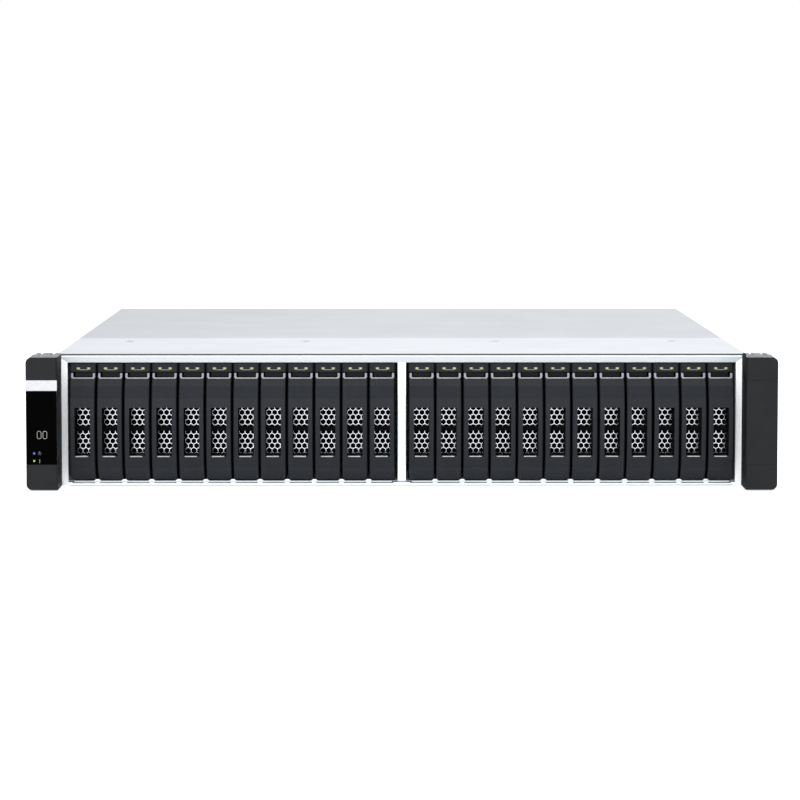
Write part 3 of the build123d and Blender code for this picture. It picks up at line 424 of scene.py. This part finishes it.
def on_face(shape):
    """Bends a form onto the handle's bowed face: each point's depth grows by the face's depth at its height."""
    points, corners, counts = shape
    depth = np.interp(points[:, 2], FACE_HEIGHTS, FACE_DEPTHS)
    return points + np.c_[0 * depth, depth, 0 * depth], corners, counts


def handle_rim():
    """The rim round the handle's fork, painted pale as a highlight: a U with cut corners, broader up its two arms,
    whose cross-section is a low bead. Outer and inner line match point for point, and the bead's crest lies between
    them."""
    outer = np.array([(-7.8, 73.5), (-7.8, 70.9), (-6.9, 70.05), (6.9, 70.05), (7.8, 70.9), (7.8, 73.5)])
    inner = np.array([(-6.4, 73.5), (-6.4, 71.2), (-6.0, 70.7), (6.0, 70.7), (6.4, 71.2), (6.4, 73.5)])
    steps = [(0, 0.7), (0, -0.02), (0.2, -0.16), (0.8, -0.16), (1, -0.02), (1, 0.7)]
    lines = [np.insert(outer + (inner - outer) * across, 1, depth, 1) for across, depth in steps]
    return on_face(lofted(lines))


def handle_ledge():
    """The ledge under the vent window, where a fingertip pulls, painted pale as a highlight: its side profile (y, z)
    has a blunt nose.
    """
    profile = [(-8.9, 20.3), (-12.7, 20.5), (-13.0, 20.4), (-13.0, 20.05), (-12.7, 19.9), (-8.9, 19.6)]
    return stacked(profile, [(-4.3, 0.12), (-4.15, 0), (3.45, 0), (3.6, 0.12)], "x")


def in_drive(x, y, z):
    """The drive in a tray."""
    start, end, low, high = DRIVE_BOX
    return (y > start) & (y < end) & (z > low) & (z < high)


MESH_FRONT, MESH_BACK = 10.5, 11.1
MESH_PITCH, MESH_WEB, MESH_START, MESH_ASIDE = 3.6, 0.46, 21.95, 0.4
mesh_sheet = pierced(-DUCT_HALF_WIDTH - MESH_ASIDE, DUCT_HALF_WIDTH - MESH_ASIDE, DUCT_BOTTOM, DUCT_TOP,
                     MESH_FRONT, MESH_BACK, MESH_PITCH, MESH_WEB, MESH_START)
line_left, line_right = LAMP_CENTRE - LAMP_OFFSET + 0.4, LAMP_CENTRE + LAMP_OFFSET - 0.4
LINE_BOTTOM, LINE_TOP = 75.45, 75.92
lamp_line = plate(rectangle(line_left, line_right, LINE_BOTTOM, LINE_TOP), BEZEL_FRONT - 0.06, BEZEL_FRONT + 0.2,
                  0.05)
lamp_cores = joined(*[plate(rounded(x - 0.75, x + 0.75, LAMP_BOTTOM + 0.12, LAMP_TOP - 0.12, 0.4),
                            BEZEL_FRONT - 0.32, BEZEL_FRONT - 0.1, 0.12)
                      for x in (LAMP_CENTRE - LAMP_OFFSET, LAMP_CENTRE + LAMP_OFFSET)])
rim, ledge = handle_rim(), handle_ledge()
for number, x in enumerate(BAY_XS, start=1):
    tray, handle = f"drive_tray_{number:02d}", f"tray_handle_{number:02d}"
    paint(tray, TRAY_ABS,
          (DRIVE_ALUMINIUM, in_drive),
          (SHADE_BLACK, lambda x, y, z: (y > 9.9) & (y < DRIVE_BOX[0] + 0.2) & (z > 6) & (z < 70)),
          (BUTTON_ABS, lambda x, y, z: (y > 4) & (y < 10.1) & (z > 70.5) & (z < 74.2)),
          (TRAY_LAMP, lambda x, y, z: (y < BEZEL_FRONT - 0.02) & (z > LAMP_BOTTOM - 0.1) & (z < LAMP_TOP + 0.1)))
    # The handle's flanks and right-hand chamfer are painted dark as shade, and its vent window's inner walls near-black
    # as shade
    paint(handle, HANDLE_ABS,
          (FLANK_ABS_PAINTED_SHADE, lambda x, y, z, middle=x: (abs(x - middle) > HANDLE_HALF_WIDTH - 0.05) | (x - middle > 7.7)),
          (SHADE_BLACK, lambda x, y, z, middle=x: (abs(x - middle) < DUCT_HALF_WIDTH + 0.05) & (z > WINDOW_BOTTOM)
           & (z < WINDOW_TOP)))
    at = [(x, 0, 0)]
    piece(f"tray_fittings_{number:02d}", f"tray_{number:02d}",
          (WEB_NICKEL, repeated(mesh_sheet, [(x + MESH_ASIDE, 0, 0)])), (LAMP_LINE, repeated(lamp_line, at)),
          (LAMP_CORE, repeated(lamp_cores, at)), slot="tray_plastic")
    # The fork's rim and the ledge, painted pale: painted highlights
    piece(f"handle_trim_painted_highlight_{number:02d}", f"handle_{number:02d}", (LIP_ABS_PAINTED_HIGHLIGHT, repeated(rim, at)),
          (SILL_ABS_PAINTED_HIGHLIGHT, repeated(ledge, at)), slot="handle_plastic")

# The ears' pads, painted pale as a sheen, and their inner walls, painted dark as shade, and the control panel's digits,
# lamps and icons on the left one
for ear in ("left_ear", "right_ear"):
    paint(ear, EAR_ABS, (PAD_ABS_PAINTED_SHEEN, lambda x, y, z: (z > 85.65) & (y < -0.5)),
          (FLANK_ABS_PAINTED_SHADE, lambda x, y, z: (x > -221.3) & (x < 0) & (y > -29)),
          (SHADE_BLACK, lambda x, y, z: (x > 0) & (x < 222.2) & (y > -29)))
paint("control_panel", PANEL_ACRYLIC, (STRIP_ACRYLIC, lambda x, y, z: z > 64.2))
PANEL_FACE = -30.3
EAR_MIDDLE, LAMP_X, ICON_X = -231.25, -236.1, -232.6
STROKE = 0.11  # half the width of a digit's stroke
PRINT = [(STROKE, PANEL_FACE + 0.1), (STROKE, PANEL_FACE - 0.02), (-STROKE, PANEL_FACE - 0.02),
         (-STROKE, PANEL_FACE + 0.1)]
DIGIT_HEIGHT, LAMP_HEIGHTS = 35.9, (24.0, 19.2)
digit = swept(rounded(-1.25, 1.25, -2.4, 2.4, 1.0), PRINT)
digits = repeated(digit, [(EAR_MIDDLE + 0.25 + side * 1.85, 0, DIGIT_HEIGHT) for side in (-1, 1)])
turn = np.radians(np.linspace(60, -240, 17))
ring = swept(np.c_[ICON_X + 0.85 * np.cos(turn), 24.0 + 0.85 * np.sin(turn)], np.array(PRINT) * (0.6, 1), False)
stem = plate(rectangle(ICON_X - 0.15, ICON_X + 0.15, 24.2, 25.2), PANEL_FACE - 0.02, PANEL_FACE + 0.1, 0.01)
bar = plate(rectangle(ICON_X - 0.18, ICON_X + 0.18, 18.3, 20.3), PANEL_FACE - 0.02, PANEL_FACE + 0.1, 0.01)
dot = plate(rectangle(ICON_X - 0.18, ICON_X + 0.18, 17.7, 18.05), PANEL_FACE - 0.02, PANEL_FACE + 0.1, 0.01)
lens = [plate(rounded(LAMP_X - 0.6, LAMP_X + 0.6, z - 0.6, z + 0.6, 0.2), PANEL_FACE - 0.03, PANEL_FACE + 0.1, 0.02)
        for z in LAMP_HEIGHTS]
piece("panel_display", "chassis", (DIGIT_LAMP, digits), (ICON_INK, joined(ring, stem, bar, dot)),
      (POWER_LAMP, lens[0]), (STATUS_LAMP, lens[1]), slot="panel_gloss")

# The metalwork


def between_bays(x, y, z):
    """The guide strips between the bays, low and high."""
    low, high = (z > 2.65) & (z < 5.85), (z > 77.15) & (z < 80.35)
    return (y > 17.9) & (y < 120.1) & (abs(x) > 2.7) & (abs(x) < 217.1) & (low | high)


def near(centres, reach):
    """A rule for paint(): the face's middle lies within reach of one of the centres, along X."""
    return lambda x, y, z: (abs(x[:, None] - np.array(centres)) < reach).any(1)


def at_standoff(x, y, z):
    """The hexagonal standoffs under the system board."""
    centres = np.array(STANDOFFS)
    return (np.hypot(x[:, None] - centres[:, 0], y[:, None] - centres[:, 1]) < 3.1).any(1) & (z > 1.25) & (z < 6)


def memory_xs():
    """The memory modules' places along X, three on each side of a processor."""
    return [x + side * offset for x in CPU_XS for side in (-1, 1) for offset in MEMORY_OFFSETS]


# The band over the bays is painted darker as shade, and the flanges beside the ears are painted almost white as painted
# light
paint("drive_cage", FRAME_STEEL, (STRIP_NYLON, between_bays),
      (BROW_STEEL_PAINTED_SHADE, lambda x, y, z: (y < 0.1) & (z > 80.5)),
      (FLANGE_STEEL_PAINTED_LIGHT, lambda x, y, z: (y < 0.1) & (z < 80.5) & (abs(x) > 217.2)))
paint("base_pan", PAN_STEEL, (BRASS, at_standoff))
# The cover's front edge is painted dark grey: the sheared edge's own grey deepened by painted shade
paint("front_cover", COVER_STEEL, (CUT_EDGE_AND_PAINTED_SHADE, lambda x, y, z: y < 0.6))
# The rear cover wears the greyer copy of the cover steel: painted shade
paint("rear_cover", LID_STEEL_PAINTED_SHADE)
paint("backplane", BOARD_GREEN, (CONNECTOR_NYLON, lambda x, y, z: y < 123.9))
paint("fan_wall", FAN_PBT, (PAN_STEEL, lambda x, y, z: y < FAN_FRONT + 0.1))
paint("system_board", BOARD_GREEN,
      (FIN_ALUMINIUM, lambda x, y, z: (z > 12.9) & near(CPU_XS, 45.1)(x, y, z) & (y < 345)),
      (CONNECTOR_NYLON, lambda x, y, z: (z > 7.61) & (z < 13.05) & near(CPU_XS, 38.1)(x, y, z) & (y < 345)),
      (CONNECTOR_NYLON, lambda x, y, z: (z > 7.61) & (z < 13.65) & near(memory_xs(), 3.3)(x, y, z) & (y < 370)),
      (MODULE_GREEN, lambda x, y, z: (z > 13.65) & near(memory_xs(), 1.5)(x, y, z) & (y < 370)),
      (FIN_ALUMINIUM, lambda x, y, z: (z > 7.61) & (abs(x + 60) < 22.1) & (y > 415) & (y < 465)),
      (CONNECTOR_NYLON, lambda x, y, z: (z > 7.61) & (z < 14.95) & near(CARD_XS, 4.1)(x, y, z) & (y > 395)),
      (MODULE_GREEN, lambda x, y, z: (z > 14.95) & near(CARD_XS, 0.85)(x, y, z) & (y > 380) & (y < 527)),
      (FIN_ALUMINIUM, lambda x, y, z: (x < -165) & (y > 419) & (y < 471) & (z > 25.9) & ~near(CARD_XS, 0.85)(x, y, z)),
      (SOCKET_NICKEL, lambda x, y, z: (z > 7.61) & (x > -105) & (y > 480)),
      (PAN_STEEL, lambda x, y, z: (y > 527.7) & (x < -125)))
for number, bottom in enumerate(SUPPLY_BOTTOMS, start=1):
    fan_z = bottom + SUPPLY_FAN_RISE
    paint(f"power_supply_{number}", SUPPLY_STEEL,
          (CONTACT_GOLD, lambda x, y, z: y < SUPPLY_FRONT - 0.05),
          (PULL_PA, lambda x, y, z: (y > SUPPLY_REAR + 0.02) & (x < 184)),
          (LATCH_PA, lambda x, y, z: (y > SUPPLY_REAR + 0.02) & (x > 184)),
          (SHADE_BLACK, lambda x, y, z: (np.hypot(x - SUPPLY_FAN_X, z - fan_z) < 16.6) & (y > 526)
           & (y < SUPPLY_REAR - 0.1)),
          (CONNECTOR_NYLON, lambda x, y, z: (abs(x - INLET_X) < 12.3) & (y > 514) & (y < SUPPLY_REAR - 0.1) & (z > bottom + 8.9)
           & (z < bottom + 25.7)))


def screw(x, y, z, radius):
    """A flush countersunk head, seen from above: a low dome with a cross set in it a hair proud, painted dark as the
    shade in a cross-shaped recess.
    """
    a, b = 0.55 * radius, 0.16 * radius
    cross = np.array([(a, -b), (a, b), (b, b), (b, a), (-b, a), (-b, b), (-a, b), (-a, -b), (-b, -b), (-b, -a),
                      (b, -a), (b, -b)])
    head = stacked(disc(x, y, radius, 24), [(z - 0.4, 0), (z + 0.02, 0), (z + 0.1, 0.25 * radius)])
    mark = stacked(cross + (x, y), [(z - 0.2, 0), (z + 0.125, 0)])
    return head, mark


# The front lip under the trays: a hem along it painted grey as shade, a sole painted as a contact shadow, a dark plate
# at each foot painted as the tray's shadow and reflection, and a tab between the feet.
# A dark plate of painted shade marks a notch at each end of both banks, and a dark line of painted shade crosses the
# centre post's foot
COVER_SCREW_XS, COVER_SCREW_Y, COVER_SCREW_RADIUS = (-186.0, -65.0, 65.0, 186.0), 125.0, 3.4
gaps = [(a + b) / 2 for a, b in zip(BAY_XS, BAY_XS[1:]) if b - a < 20]
post_foot = plate(rectangle(-3.2, 3.2, 2.25, 2.6), -0.2, 0.3, 0.04)
notch = plate(rectangle(-1.9, 1.9, 2.25, 3.05), -0.22, 0.3, 0.04)
notches = repeated(notch, [(x, 0, 0) for x in (-215.2, -4.6, 4.6, 215.2)])
hem = stacked([(-0.04, 2.5), (0.3, 2.5), (0.3, 3.3), (-0.04, 3.3), (-0.16, 3.2), (-0.16, 2.6)],
              [(-216.6, 0), (216.6, 0)], "x")
foot_shadow = plate(rectangle(-7.4, 7.4, 1.55, 2.15), -0.2, 0.3, 0.04)
tab = plate([(-2.4, 3.1), (2.4, 3.1), (0.9, 4.2), (-0.9, 4.2)], -0.2, 0.6, 0.08)
sole = plate(rectangle(-216.0, 216.0, 0.0, 0.4), -0.1, 0.3, 0.04)
piece("front_lip", "chassis", (HEM_STEEL_PAINTED_SHADE, hem), (SOLE_STEEL_PAINTED_SHADOW, sole),
      (SLOT_STEEL_PAINTED_SHADOW, joined(post_foot, notches, repeated(foot_shadow, [(x, 0, 0) for x in BAY_XS]))),
      (FRAME_STEEL, repeated(tab, [(x, 0, 0) for x in gaps])), slot="frame_steel")

# Screw heads whose crosses are painted dark as the shade in their recesses
heads, marks = zip(*[screw(x, COVER_SCREW_Y, CHASSIS_TOP, COVER_SCREW_RADIUS) for x in COVER_SCREW_XS])
piece("cover_screws", "chassis", (SCREW_STEEL, joined(*heads)), (CUT_EDGE_AND_PAINTED_SHADE, joined(*marks)),
      slot="frame_steel")

# What is soldered to the board or plugged in round the processors: memory chips and their sockets' latches, capacitors,
# controllers, the clock's cell and the power connector
chip = stacked(rectangle(CPU_Y - 4.2, CPU_Y + 4.2, 19.0, 31.0), [(1.35, 0), (2.15, 0), (2.3, 0.15)], "x")
chips = repeated(chip, [(x, (k - 3.5) * 15.2, 0) for x in memory_xs() for k in range(8)])
latch = box(-3.0, 3.0, -1.8, 1.8, BOARD_TOP, 21.0, 0.5)
latches = repeated(latch, [(x, CPU_Y + end * 72.9, 0) for x in memory_xs() for end in (-1, 1)])
can = stacked(disc(0, 0, 3.2, 16), [(BOARD_TOP, 0), (BOARD_TOP + 8.6, 0), (BOARD_TOP + 9.0, 0.4)])
cans = repeated(can, [(x + (k - 3) * 10.5, 353.0, 0) for x in CPU_XS for k in range(7)])
cell = stacked(disc(108.0, 392.0, 10.0, 32), [(BOARD_TOP + 1.2, 0), (BOARD_TOP + 4.2, 0), (BOARD_TOP + 4.6, 0.4)])
cell_holder = box(96.0, 120.0, 380.5, 403.5, BOARD_TOP, BOARD_TOP + 1.3, 0.3)
controllers = joined(*[box(x - half, x + half, y - half, y + half, BOARD_TOP, BOARD_TOP + 1.8, 0.2)
                       for x, y, half in ((20, 440, 11), (74, 462, 9.5), (-20, 478, 7), (62, 412, 5), (100, 440, 6),
                                          (-112, 420, 6), (-112, 462, 8), (118, 482, 6), (30, 396, 4))])
power_plug = box(106.0, 117.0, 226.0, 279.0, BOARD_TOP, BOARD_TOP + 12.5, 0.4)
piece("board_components", "chassis", (CHIP_EPOXY, joined(chips, controllers)),
      (CONNECTOR_NYLON, joined(latches, cell_holder, power_plug)), (CAN_ALUMINIUM, joined(cans, cell)),
      slot="board_green")

# The rear wall's perforated sheet, behind its upright air slots
VENT_HALF_WIDTH, VENT_BOTTOM, VENT_TOP, VENT_FRONT, VENT_BACK = 117, 30, 78, 528.0, 528.6
VENT_PITCH, VENT_WEB, VENT_START = 4.4, 1.1, 31.0
vent_sheet = pierced(-VENT_HALF_WIDTH, VENT_HALF_WIDTH, VENT_BOTTOM, VENT_TOP, VENT_FRONT, VENT_BACK, VENT_PITCH,
                     VENT_WEB, VENT_START)
piece("rear_vent_sheet", "chassis", (PAN_STEEL, vent_sheet), slot="frame_steel")

# Each power supply's fan with its wire guard, the mains inlet's three pins and a lamp's lens
WIRE = disc(0, 0, 0.6, 8)


def ring_of_wire(radius, x, y, z):
    """A wire ring round the fan's axis: a small circle carried round a large one."""
    points, corners, counts = swept(disc(0, 0, radius, 24), WIRE)
    return points + (x, y, z), corners, counts


def blades(x, y, z, hub, tip, count):
    """Fan blades: each is a thin sheet from the hub to the tip whose two ends are twisted against the axis."""
    shapes = []
    for turn in np.arange(count) * 2 * math.pi / count:
        lines = []
        for along, depth in ((-0.34, 0.0), (0.34, 1.9), (0.34, 2.2), (-0.34, 0.3)):
            angles = turn + np.array([along, along * 0.9, along * 0.8])
            reach = np.array([hub, (hub + tip) / 2, tip])
            lines.append(np.c_[x + reach * np.cos(angles), np.full(3, y + depth), z + reach * np.sin(angles)])
        shapes.append(lofted(lines))
    return joined(*shapes)


for number, bottom in enumerate(SUPPLY_BOTTOMS, start=1):
    fan_z, inlet_z = bottom + SUPPLY_FAN_RISE, bottom + INLET_RISE
    rings = [ring_of_wire(radius, SUPPLY_FAN_X, SUPPLY_REAR - 0.4, fan_z) for radius in (6.5, 11.0, 15.5)]
    spokes = [plate(rectangle(SUPPLY_FAN_X + a, SUPPLY_FAN_X + b, fan_z + c, fan_z + d), SUPPLY_REAR - 1.5,
                    SUPPLY_REAR - 0.8, 0.1)
              for a, b, c, d in ((-16, -6, -0.5, 0.5), (6, 16, -0.5, 0.5), (-0.5, 0.5, -16, -6), (-0.5, 0.5, 6, 16))]
    hub = stacked(disc(SUPPLY_FAN_X, fan_z, 5.6, 20), [(SUPPLY_REAR - 3.9, 0), (SUPPLY_REAR - 2.2, 0),
                                                       (SUPPLY_REAR - 1.9, 0.5)], "y")
    pins = [plate(rectangle(INLET_X + dx - 1, INLET_X + dx + 1, inlet_z + dz - 2, inlet_z + dz + 2),
                  SUPPLY_REAR - 15.9, SUPPLY_REAR - 4, 0.3) for dx, dz in ((-7, -1.5), (7, -1.5), (0, 2.5))]
    lens = stacked(disc(INLET_X - 0.5, bottom + 32.0, 1.3, 16), [(SUPPLY_REAR - 0.4, 0), (SUPPLY_REAR + 0.2, 0),
                                                          (SUPPLY_REAR + 0.45, 0.5)], "y")
    piece(f"supply_fittings_{number}", f"supply_{number}",
          (CAN_ALUMINIUM, joined(*rings, *spokes)),
          (FAN_PBT, joined(hub, blades(SUPPLY_FAN_X, SUPPLY_REAR - 3.9, fan_z, 5.4, 15.6, 7))),
          (SOCKET_NICKEL, joined(*pins)), (STATUS_LAMP, lens), slot="supply_metal")


# Floor, light and camera


def area_light(name, place, aim, size, power):
    """A soft rectangular light at a place in metres, turned towards a point."""
    lamp = bpy.data.lights.new(name, "AREA")
    lamp.shape, lamp.size, lamp.size_y, lamp.energy = "RECTANGLE", *size, power
    holder = bpy.data.objects.new(name, lamp)
    holder.location = place
    holder.rotation_mode = "QUATERNION"
    holder.rotation_quaternion = (Vector(aim) - Vector(place)).to_track_quat("-Z", "Y")
    bpy.context.scene.collection.objects.link(holder)


floor_mesh = bpy.data.meshes.new("floor")
floor_mesh.from_pydata([(-40, -40, -0.0004), (40, -40, -0.0004), (40, 40, -0.0004), (-40, 40, -0.0004)], [],
                       [(0, 1, 2, 3)])
floor = bpy.data.objects.new("floor", floor_mesh)
bpy.context.scene.collection.objects.link(floor)
paper, paper_tree, paper_shader = blank("white_paper_floor")
paper_shader.inputs["Base Color"].default_value = (0.9, 0.9, 0.9, 1)
paper_shader.inputs["Emission Color"].default_value = (1, 1, 1, 1)
paper_shader.inputs["Emission Strength"].default_value = 0.5
paper_shader.inputs["Roughness"].default_value = 0.9
paper_shader.inputs["Specular IOR Level"].default_value = 0.0
floor_mesh.materials.append(paper)

world = bpy.data.worlds.new("studio")
bpy.context.scene.world = world
world.use_nodes = True
sky = world.node_tree
sky.nodes.clear()
# A white tent: as bright before the object as above it, and a little dimmer overhead
direction = add(sky, "TexCoord").outputs["Generated"]
part = add(sky, "SeparateXYZ", {0: direction})
tent = add(sky, "MapRange", {"Value": part.outputs[2], "From Min": 0.1, "From Max": 0.9, "To Min": 0.7,
                             "To Max": 0.75})
soft = add(sky, "Background", {"Color": (0.97, 0.985, 1.0, 1), "Strength": tent.outputs[0]})
white = add(sky, "Background", {"Color": (1, 1, 1, 1), "Strength": 1.0})
ray = add(sky, "LightPath")
shown = add(sky, "MixShader", {0: ray.outputs["Is Camera Ray"], 1: soft.outputs[0], 2: white.outputs[0]})
add(sky, "OutputWorld", {"Surface": shown.outputs[0]})

area_light("front", (-0.5, -4.0, 0.9), (0, -0.2, 0.04), (1.4, 0.8), 62)
area_light("top", (0, -1.2, 3.0), (0, -0.1, 0.08), (2.4, 1.6), 58)
area_light("rear", (0.8, 3.0, 1.6), (0, 0.2, 0.04), (2.4, 1.6), 6)

bpy.context.scene.view_settings.view_transform = "Standard"

LENS_MM = 151.106
YAW, PITCH = math.radians(0.2568), math.radians(4.7339)
camera = bpy.data.objects.new("camera", bpy.data.cameras.new("camera"))
camera.data.lens, camera.data.sensor_width = LENS_MM, 36.0
camera.location = (-0.01094, -2.43715, 0.23607)
camera.rotation_mode = "QUATERNION"
sight = Vector((math.sin(YAW) * math.cos(PITCH), math.cos(YAW) * math.cos(PITCH), -math.sin(PITCH)))
camera.rotation_quaternion = sight.to_track_quat("-Z", "Y")
bpy.context.scene.collection.objects.link(camera)
bpy.context.scene.camera = camera
